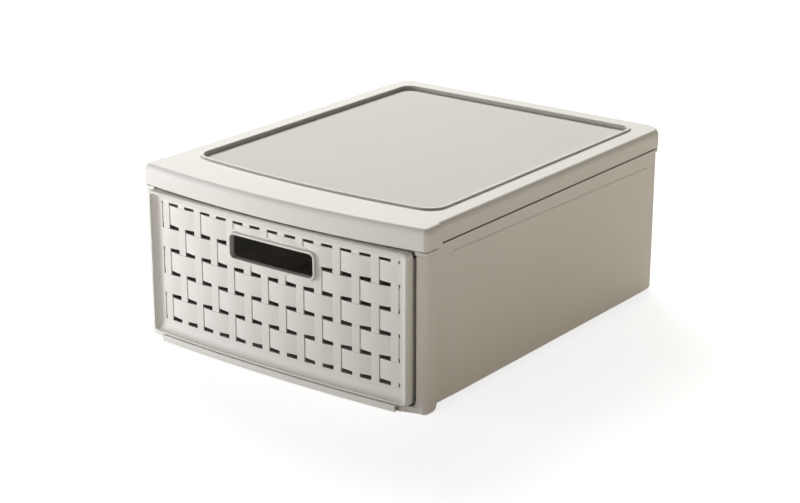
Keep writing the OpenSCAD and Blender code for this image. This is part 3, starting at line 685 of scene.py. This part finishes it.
# the floor is painted; lift is a glow that only the camera sees, which keeps the backdrop white
studio = dict(floor="#C6C5C3", half=8.0, under=0.0003, lift=0.8, backdrop=1.0, air=0.06)

floorMaterial = bpy.data.materials.new("paintedStudioFloor")
floorMaterial.use_nodes = True
tree = floorMaterial.node_tree
tree.nodes.clear()
paint = addNode(tree, "ShaderNodeBsdfDiffuse", {"Color": linear(studio["floor"]), "Roughness": 0.5})
glow = addNode(tree, "ShaderNodeEmission", {"Color": (1, 1, 1, 1), "Strength": studio["lift"]})
lit = addNode(tree, "ShaderNodeAddShader", {}, {0: paint.outputs[0], 1: glow.outputs[0]})
path = addNode(tree, "ShaderNodeLightPath", {})
pick = addNode(tree, "ShaderNodeMixShader", {},
               {0: path.outputs["Is Camera Ray"], 1: paint.outputs[0], 2: lit.outputs[0]})
addNode(tree, "ShaderNodeOutputMaterial", {}, {"Surface": pick.outputs[0]})
floorMesh = bpy.data.meshes.new("studio_floor")
floorCorners = [(x * studio["half"], y * studio["half"], -studio["under"])
                for x, y in ((-1, -1), (1, -1), (1, 1), (-1, 1))]
floorMesh.from_pydata(floorCorners, [], [(0, 1, 2, 3)])
floorMesh.materials.append(floorMaterial)
floor = bpy.data.objects.new("studio_floor", floorMesh)
bpy.context.collection.objects.link(floor)

world = bpy.data.worlds.new("studio")
bpy.context.scene.world = world
world.use_nodes = True
tree = world.node_tree
tree.nodes.clear()
path = addNode(tree, "ShaderNodeLightPath", {})
air = addNode(tree, "ShaderNodeBackground", {"Color": (1.0, 0.99, 0.97, 1), "Strength": studio["air"]})
white = addNode(tree, "ShaderNodeBackground", {"Color": (1, 1, 1, 1), "Strength": studio["backdrop"]})
pick = addNode(tree, "ShaderNodeMixShader", {},
               {0: path.outputs["Is Camera Ray"], 1: air.outputs[0], 2: white.outputs[0]})
addNode(tree, "ShaderNodeOutputWorld", {}, {"Surface": pick.outputs[0]})

# The two keys stand behind at the left, about 35 degrees up, so the deck is bright while edges that tilt
# to the front or the right go dark. Low lamps, most of them strips below the deck's height, light the
# upright faces. Places and sizes are in metres, power in watts.
lamps = {
    "keyLeft": dict(place=(-4.8, 4.0, 4.8), aim=(0, 0, 0.1), size=3.2, tall=3.2, power=610,
                    colour="#FFFEFF"),
    "keyRear": dict(place=(-1.2, 3.2, 2.4), aim=(0, 0, 0.1), size=1.6, tall=1.6, power=45,
                    colour="#FFFFF0"),
    "nearLeft": dict(place=(-0.75, -0.75, 0.2), aim=(-0.05, -0.2, 0.08), size=0.4, tall=0.4, power=4.1,
                     colour="#F4FDFF"),
    "leftStrip": dict(place=(-0.85, -0.85, 0.09), aim=(0, -0.2, 0.08), size=0.4, tall=0.16, power=2.4,
                      colour="#F4EEFF"),
    "frontMid": dict(place=(-0.5, -1.75, 0.75), aim=(0, -0.1, 0.1), size=0.7, tall=0.7, power=3.1,
                     colour="#FFEAD9"),
    "frontStrip": dict(place=(0.1, -1.75, 0.085), aim=(0, 0, 0.085), size=1.2, tall=0.15, power=5.0,
                       colour="#FFFCF8"),
    "rightStrip": dict(place=(1.65, 0.4, 0.085), aim=(0, 0, 0.085), size=1.6, tall=0.15, power=7.3,
                       colour="#FFF1DC"),
}
for name, lamp in lamps.items():
    data = bpy.data.lights.new(name, "AREA")
    data.shape, data.size, data.size_y = "RECTANGLE", lamp["size"], lamp["tall"]
    data.energy, data.color = lamp["power"], linear(lamp["colour"])[:3]
    light = bpy.data.objects.new(name, data)
    away = np.array(lamp["place"]) - lamp["aim"]
    light.location = lamp["place"]
    light.rotation_euler = (math.atan2(math.hypot(away[0], away[1]), away[2]), 0,
                            math.atan2(away[0], -away[1]))
    bpy.context.collection.objects.link(light)

# the camera stands where it repeats the photo's outline best; focal is in pixels of a picture 800 wide
view = dict(place=(1.105, -1.4731, 0.708), turn=37.15, down=19.28, tilt=-0.03, focal=1958.0, width=800,
            sensor=36)
cameraData = bpy.data.cameras.new("photoCamera")
cameraData.sensor_width = view["sensor"]
cameraData.lens = view["focal"] / view["width"] * view["sensor"]
camera = bpy.data.objects.new("photoCamera", cameraData)
camera.location = view["place"]
camera.rotation_euler = np.radians([90 - view["down"], view["tilt"], view["turn"]])
bpy.context.collection.objects.link(camera)
bpy.context.scene.camera = camera
bpy.context.scene.view_settings.view_transform = "Standard"

print("stage set")
